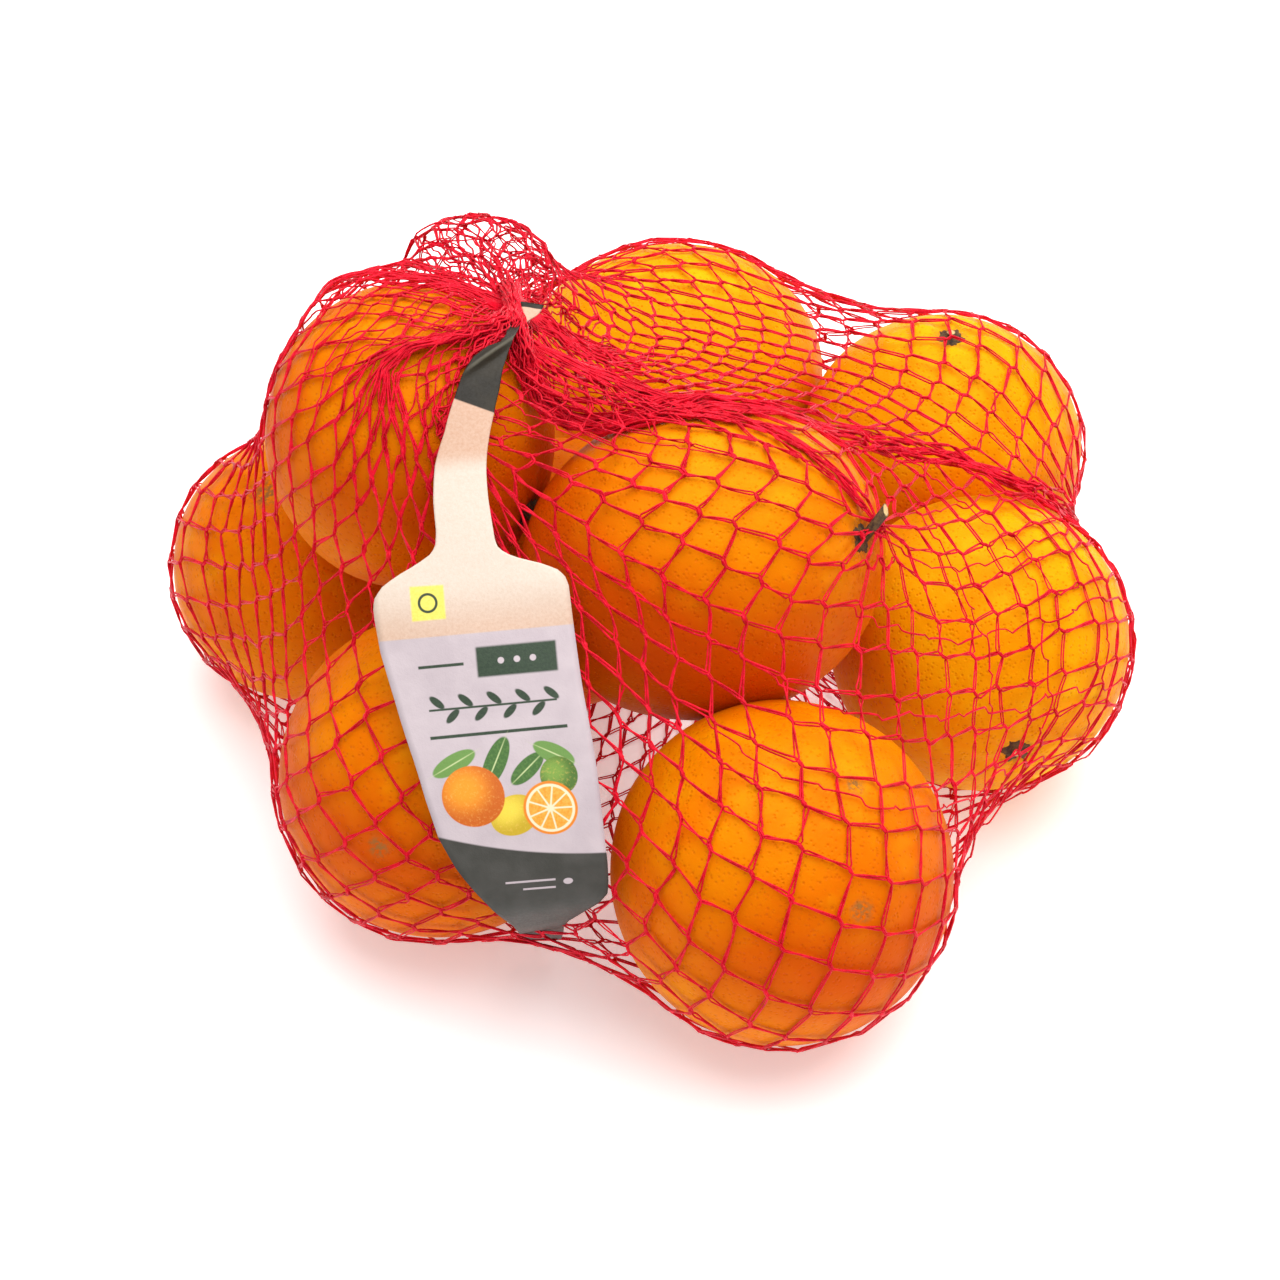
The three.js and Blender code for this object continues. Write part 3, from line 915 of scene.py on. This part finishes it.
def build_label(net_points, material):
    """The long card: it lies on the net, stiff along its length, and its ends go under it."""
    fine = curve_through(LABEL_PATH, 60)
    reach = arc_lengths(fine)
    d = np.linspace(0, reach[-1], LABEL_STATIONS)
    line = np.stack([np.interp(d, reach, fine[:, k]) for k in range(3)], axis=-1)
    edge = np.array(LABEL_EDGE)
    left, right = np.interp(d, edge[:, 0], edge[:, 1]), np.interp(d, edge[:, 0], edge[:, 2])
    x = left[:, None] + (right - left)[:, None] * np.linspace(0, 1, LABEL_LINES)
    heading = unit(np.gradient(line[:, :2], axis=0))
    for _ in range(30):
        heading[1:-1] = (heading[:-2] + heading[1:-1] + heading[2:]) / 3
    heading = unit(heading)
    # the label's right, seen from outside, is across its downward heading
    a = line[:, None, 0] + x * -heading[:, None, 1]
    b = line[:, None, 1] + x * heading[:, None, 0]
    needed = net_heights(net_points)[grid_places(a, b)].max(axis=1) + LABEL_CLEARANCE + LABEL_THICKNESS / 2
    needed[(d < LABEL_FREE[0]) | (d > LABEL_FREE[1])] = -1e3
    out = line[:, 2].copy()
    lowest = np.maximum(needed, out - LABEL_SINK)
    for _ in range(6000):
        out[1:-1] = np.maximum((out[:-2] + out[2:]) / 2, lowest[1:-1])
    for _ in range(6):
        out[1:-1] = (out[:-2] + 2 * out[1:-1] + out[2:]) / 4
    bow = -0.0016 * (x - (left + right)[:, None] / 2) ** 2
    ripple = 0.18 * np.sin(d[:, None] / 9.0 + x / 14.0) + 0.12 * np.sin(d[:, None] / 5.3 - x / 6.0 + 1.0)
    off = np.abs(FOLD_DOWN * d[:, None] + FOLD_ACROSS * x + FOLD_AT)
    pleat = 0.9 * np.exp(-(off / 1.1) ** 2) - 0.5 * np.exp(-((off - 2.2) / 1.6) ** 2)
    pleat = pleat * (1 - smoothstep(*TONGUE_FOLD, d))[:, None]
    h = out[:, None] + bow + ripple * smoothstep(40, 90, d)[:, None] + pleat
    sheet = np.stack([a, (b - h) * SLOPE, (b + h) * SLOPE], axis=-1)
    card("label_card", sheet, (0, -1.0, 1.0), np.repeat(d[:, None], LABEL_LINES, axis=1), x, material)


def build_flap(name, corners, along, bow, material):
    s, t = np.linspace(0, 1, FLAP_ROWS)[:, None, None], np.linspace(0, 1, FLAP_LINES)[None, :, None]
    ul, ur, lr, ll = (np.array(corner, float) for corner in corners)
    sheet = (1 - s) * ((1 - t) * ul + t * ur) + s * ((1 - t) * ll + t * lr)
    sheet[..., 2] += bow * np.sin(np.pi * s[..., 0]) * np.cos(np.pi * t[..., 0])
    low, high = along
    card(name, sheet, (0, 0, 1), low + (high - low) * np.repeat(s[..., 0], FLAP_LINES, axis=1),
         np.repeat(4 * t[..., 0] - 2, FLAP_ROWS, axis=0), material)


# The print's leaves and fruit: centre down the label and across it, the radii, the turn and the colours.
LEAF, SAGE = (66, 104, 48), (108, 146, 74)
LEAVES = [
    (127.5, -1.5, 6.4, 2.4, -0.5, LEAF), (127.0, -11.0, 2.2, 5.6, 0.45, SAGE),
    (129.5, 5.5, 2.1, 5.0, 0.7, LEAF), (126.5, 12.0, 2.2, 5.0, -0.5, SAGE),
]
PRINTED_FRUIT = [
    (140.0, 1.5, 4.6, 5.8, 0.4, (232, 206, 70), (196, 164, 40)),  # a lemon
    (131.5, 12.5, 4.3, 4.3, 0.0, (122, 156, 66), (76, 110, 44)),  # a lime
    (135.0, -7.5, 7.2, 7.2, 0.0, (240, 150, 34), (198, 96, 22)),  # an orange
]
CUT_ORANGE = (138.8, 9.8)
CUT_RADIUS = 6.2
SPRIG_LEAVES = 9


def label_material():
    """Coated kraft card: bare kraft, a pale field and a dark foot, with plain fruit, leaves and rules."""
    n = Nodes("label")
    d, x = n.attribute("along"), n.attribute("across")
    # the print sits a few degrees off the cut
    down = n.times_plus(x, n.times_plus(n.ramp(d, 98.0, 126.0), -0.055, -0.09), d)
    over = n.times_plus(n.minus(d, 120.0), 0.09, x)
    where = n.coords()
    fleck = n.noise(1600, 3, 0.6, where)
    cloud = n.noise(120, 3, 0.5, where)
    kraft = n.mottled(fleck, (222, 206, 191), (216, 198, 180), 0.75)
    peach = n.mottled(fleck, (210, 174, 150), (202, 160, 134), 0.75)
    pale = n.mottled(cloud, (199, 185, 189), (189, 175, 180))
    dark = n.mottled(cloud, (62, 61, 56), (76, 74, 70))
    ink = n.mottled(fleck, (44, 60, 44), (56, 72, 54))
    yellow = n.mottled(fleck, (238, 226, 108), (228, 212, 92))

    def band(value, low, high, soft):
        """1 between two values."""
        above = n.ramp(value, low - soft, low + soft)
        return n.times(above, n.ramp(value, high - soft, high + soft, 1.0, 0.0))

    def block(low, high, left, right, soft=0.12):
        """1 inside an upright rectangle."""
        return n.times(band(down, low, high, soft), band(over, left, right, soft))

    def radius_of(cd, cx, rd, rx, turn=0.0):
        """Distance from a centre, as a share of an ellipse's radius."""
        ds, xs = n.minus(down, cd), n.minus(over, cx)
        c, s = float(np.cos(turn)), float(np.sin(turn))
        p = n.plus(n.times(ds, c / rd), n.times(xs, s / rd))
        q = n.plus(n.times(xs, c / rx), n.times(ds, -s / rx))
        return n.math("SQRT", n.plus(n.times(p, p), n.times(q, q)))

    def disc(cd, cx, rd, rx, turn=0.0):
        """1 inside an ellipse."""
        edge = 0.12 / min(rd, rx)
        return n.ramp(radius_of(cd, cx, rd, rx, turn), 1 - edge, 1 + edge, 1.0, 0.0)

    # masks and the colours that they lay on, one over the other
    layers = [
        (n.times(n.ramp(down, 84.0, 98.0), 0.75), peach),
        (n.ramp(down, 97.1, 97.5), pale),
        (n.ramp(n.times_plus(n.times(x, x), 0.004, n.times_plus(x, -0.32, d)), 148.4, 149.0), dark),
    ]
    # the dark tongue, with a painted highlight along its fold
    off = n.math("ABSOLUTE", n.times_plus(d, FOLD_DOWN, n.times_plus(x, FOLD_ACROSS, FOLD_AT)))
    fold_highlight = n.times(n.ramp(off, 0.1, 0.6, 0.6, 0.0), n.ramp(d, 30.0, 36.0, 1.0, 0.0))
    tongue = n.mix(fold_highlight, n.mottled(cloud, (30, 25, 16), (44, 37, 24)), srgb(98, 92, 76))
    layers.append((n.ramp(d, 42.5, 43.0, 1.0, 0.0), tongue))
    # a yellow field with a small ring on it, a dark bar with three dots, two rules and a sprig's stalk
    ring = n.minus(disc(89.5, -13.1, 2.3, 2.3), disc(89.5, -13.1, 1.7, 1.7))
    bar = block(100.6, 107.6, -3.0, 15.5, 0.35)
    layers += [(block(85.6, 93.4, -17.0, -9.2, 0.3), yellow), (ring, ink), (bar, ink)]
    layers += [(disc(104.1, cx, 0.75, 0.75), pale) for cx in (2.6, 6.3, 10.0)]
    layers += [(block(103.8, 104.5, -16.5, -6.0), ink), (block(120.2, 120.95, -15.5, 16.0), ink),
               (block(114.0, 114.5, -15.0, 14.5), ink)]
    for k in range(SPRIG_LEAVES):
        side = 1 if k % 2 else -1
        layers.append((disc(114.25 + side * 1.7, -13.0 + 3.3 * k, 0.85, 2.1, side * 0.75), ink))
    # leaves, a lemon and a lime behind a whole and a cut orange
    for cd, cx, tall, wide, turn, green in LEAVES:
        blade = n.mix(n.ramp(fleck, 0.4, 0.7, 0.0, 0.4), srgb(*green), srgb(*SAGE))
        vein = (0.85 * tall, 0.14) if tall > wide else (0.14, 0.85 * wide)
        layers += [(disc(cd, cx, tall, wide, turn), blade), (disc(cd, cx, *vein, turn), srgb(196, 208, 150))]
    for cd, cx, rd, rx, turn, ripe, shade in PRINTED_FRUIT:
        lit = n.ramp(radius_of(cd - 0.25 * rd, cx - 0.25 * rx, rd, rx, turn), 0.2, 1.1)
        body = n.mix(lit, srgb(*ripe), srgb(*shade))
        body = n.mix(n.ramp(fleck, 0.5, 0.75, 0.0, 0.25), body, srgb(250, 206, 110))
        layers.append((disc(cd, cx, rd, rx, turn), body))
    for share, tint in ((1.0, (226, 130, 36)), (0.9, (240, 222, 186))):
        layers.append((disc(*CUT_ORANGE, CUT_RADIUS * share, CUT_RADIUS * share), srgb(*tint)))
    turn = n.math("ARCTAN2", n.minus(down, CUT_ORANGE[0]), n.minus(over, CUT_ORANGE[1]))
    wedge = n.math("ABSOLUTE", n.math("SINE", n.times(turn, 4.5)))
    wedge = n.times(wedge, radius_of(*CUT_ORANGE, CUT_RADIUS, CUT_RADIUS))
    flesh = n.times(n.ramp(wedge, 0.08, 0.2), disc(*CUT_ORANGE, CUT_RADIUS * 0.8, CUT_RADIUS * 0.8))
    layers.append((flesh, n.mottled(fleck, (240, 146, 40), (246, 176, 74))))
    # two pale rules and a dot on the foot
    layers += [(block(157.5, 158.2, -2.0, 9.5), pale), (block(160.3, 161.0, 2.0, 9.5), pale),
               (disc(158.8, 12.4, 1.1, 1.1), pale)]

    # the card is darker peach above a slanting line across the neck and kraft below: painted shade where the
    # card bends away from the light
    colour = n.mix(n.ramp(n.times_plus(x, 0.19, d), 54.0, 60.0), peach, kraft)
    for mask, tint in layers:
        colour = n.mix(mask, colour, tint)
    height = n.plus(n.times(fleck, 0.5), n.noise(260, 3, 0.5, where))
    height = n.plus(height, n.times(n.noise(5200, 2, 0.6, where), 0.25))
    return n.surface({
        "Base Color": colour,
        "Roughness": n.ramp(fleck, 0.3, 0.7, 0.42, 0.56),
        "Specular IOR Level": 0.3,
        "Normal": n.bump(height, 0.0002, 0.5),
    })


# ---- the gathers
# Where the slack is squeezed together: path, radius at its points, strands, twist, the shortest strand's
# share, how far the strands zigzag, and how much they taper.
BUNDLES = {
    "gather_top": dict(
        path=[(-33.5, 39, 110), (-32.6, 34.5, 116), (-32, 27, 119.3), (-31.2, 20, 121), (-31.2, 14, 123.6),
              (-31.8, 8.5, 125.6)],
        reach=[3.6, 2.6, 2.1, 2.1, 2.0, 1.3], count=80, twist=2.0, shortest=0.85, weave=0.0, taper=0.5),
    "gather_left": dict(
        path=[(-31.5, 22, 121), (-31.8, 14, 124), (-34.5, 7.5, 126), (-39, 1.5, 127), (-43, -5.5, 125),
              (-46, -13, 121), (-48.5, -21, 115.2)],
        reach=[1.4, 1.6, 2.4, 3.4, 4.6, 6.0, 7.0], count=20),
    "gather_right": dict(
        path=[(-31, 22, 121), (-30, 13, 123), (-28.5, 6, 120.6), (-26.8, 0, 116), (-24, -4.5, 113.3),
              (-19, -8.5, 112.5), (-12, -12, 113), (-3, -13.5, 117)],
        reach=[1.4, 1.8, 2.4, 3.0, 3.2, 3.2, 3.0, 2.8], count=28, twist=0.6, weave=0.8),
    "gather_over": dict(
        path=[(-32.5, 20, 121.6), (-35, 11, 126), (-40, 5.5, 128.2), (-47, 0.5, 129.8), (-56, -2, 130.6),
              (-64, -1, 130)],
        reach=[1.2, 1.4, 2.2, 3.2, 4.2, 5.0], count=14, taper=0.7),
    "gather_bottom": dict(
        path=[(20, 50, 8.0), (20, 46.5, 5.0), (20, 42, 3.6)],
        reach=[3.4, 2.4, 3.4], count=40, twist=2.0, shortest=1.0, weave=0.0, taper=0.0),
}
BUNDLE_STEP = 1.25
BUNDLE_CELL = 7.0  # length of one squeezed cell


def build_bundle(name, seed, material, path, reach, count, twist=0.4, shortest=0.3, weave=0.9, taper=0.75):
    """A squeezed bunch of the net's threads; returns their points."""
    rng = np.random.default_rng(seed)
    line = curve_through(path, 8)
    arc = arc_lengths(line)
    tangent = unit(np.gradient(line, axis=0))
    side = unit(np.cross(tangent, (0.1, 0.2, 1.0)))
    up = np.cross(side, tangent)
    length = max(6, int(arc[-1] / BUNDLE_STEP))
    here = np.linspace(0, 1, length) * rng.uniform(shortest, 1.0, (count, 1))
    centre, side, up = (np.stack([np.interp(here * arc[-1], arc, v[:, k]) for k in range(3)], axis=-1)
                        for v in (line, side, up))
    wide = np.interp(here, np.linspace(0, 1, len(reach)), reach)
    angle = rng.uniform(0, 2 * np.pi, (count, 1)) + twist * here + spread(rng, (count, length), 0.2, 4)
    r = wide * np.sqrt(rng.uniform(0.02, 1, (count, 1))) * (1 + spread(rng, (count, length), 0.12, 3))
    # the strands zigzag as squeezed cells do, one strand against the next
    beat = here * arc[-1] / BUNDLE_CELL + rng.uniform(0, 1, (count, 1))
    sway = weave * smoothstep(0, 0.4, here) * (4 * np.abs(beat - np.floor(beat + 0.5)) - 1)
    centre = centre + sway[..., None] * side
    paths = centre + (r * np.cos(angle))[..., None] * side + (0.7 * r * np.sin(angle))[..., None] * up
    for solid in balls(THREAD_GAP):
        solid.push(paths)
    radii = rng.uniform(0.22, 0.36, (count, 1)) * (1 + spread(rng, (count, length), 0.15))
    radii = radii * (1 - taper * smoothstep(0.7, 1.0, np.linspace(0, 1, length)))
    add_threads(name, paths, up, radii, material)
    return paths.reshape(-1, 3)


# ---- camera and studio
VIEW_TARGET = np.array([-1.1, -2.8, 32.7])
VIEW_DISTANCE = 1040.0
VIEW_ELEVATION = np.radians(45)
VIEW_LENS = 117.2
# In metres from here on, as Blender's lights are.
FLOOR_HALF = 3.0
FLOOR_GLOW = 0.35
WORLD_STRENGTH = 0.48
KEY_AT, KEY_TARGET = (0.2, 0.25, 1.4), (0, 0, 0.05)
KEY_SIZE = 2.4
KEY_POWER = 41


def place(name, data, at, look):
    """An object that looks one way along its -Z."""
    thing = bpy.data.objects.new(name, data)
    thing.location = at
    thing.rotation_euler = Vector(look).to_track_quat("-Z", "Y").to_euler()
    bpy.context.scene.collection.objects.link(thing)
    return thing


def make_camera():
    look = np.array([0, np.cos(VIEW_ELEVATION), -np.sin(VIEW_ELEVATION)])
    data = bpy.data.cameras.new("camera")
    data.lens = VIEW_LENS
    data.sensor_width = 36
    data.clip_start, data.clip_end = 0.05, 20
    bpy.context.scene.camera = place("camera", data, (VIEW_TARGET - VIEW_DISTANCE * look) * MM, look)


def make_floor():
    w = FLOOR_HALF
    mesh = bpy.data.meshes.new("floor")
    mesh.from_pydata([(-w, -w, 0), (w, -w, 0), (w, w, 0), (-w, w, 0)], [], [(0, 1, 2, 3)])
    floor = bpy.data.objects.new("floor", mesh)
    bpy.context.scene.collection.objects.link(floor)
    n = Nodes("floor")
    mesh.materials.append(n.surface({
        "Base Color": n.mix(n.noise(6, 3, 0.5, n.coords()), srgb(246, 246, 247), srgb(250, 250, 250)),
        "Roughness": 0.8,
        "Emission Color": (1, 1, 1, 1),
        "Emission Strength": FLOOR_GLOW,
    }))


def make_light():
    world = bpy.data.worlds.new("studio")
    world.use_nodes = True
    background = world.node_tree.nodes["Background"]
    background.inputs["Color"].default_value = (1, 1, 1, 1)
    background.inputs["Strength"].default_value = WORLD_STRENGTH
    bpy.context.scene.world = world
    data = bpy.data.lights.new("key", "AREA")
    data.shape = "DISK"
    data.size = KEY_SIZE
    data.energy = KEY_POWER
    place("key", data, KEY_AT, Vector(KEY_TARGET) - Vector(KEY_AT))
    bpy.context.scene.view_settings.view_transform = "Standard"


# ---- build
make_camera()
make_floor()
make_light()

net_red = net_material()
stem_brown = stem_material()
# the yellower peel is partly painted light, on the fruit towards the key light
deep_peel = peel_material("peel_a", (236, 138, 0), (230, 118, 0), (240, 158, 4))
yellow_peel = peel_material("peel_b", (246, 172, 2), (243, 156, 0), (248, 192, 14))
under_label = [build_net(net_red)]
for index, name in enumerate(FRUITS):
    build_orange(name, index, yellow_peel if name in YELLOWER else deep_peel, stem_brown)
for index, (name, bundle) in enumerate(BUNDLES.items()):
    under_label.append(build_bundle(name, 21 + index, net_red, **bundle))
card_print = label_material()
build_label(np.concatenate(under_label), card_print)
for name, flap in FLAPS.items():
    build_flap(f"label_flap_{name}", *flap, card_print)
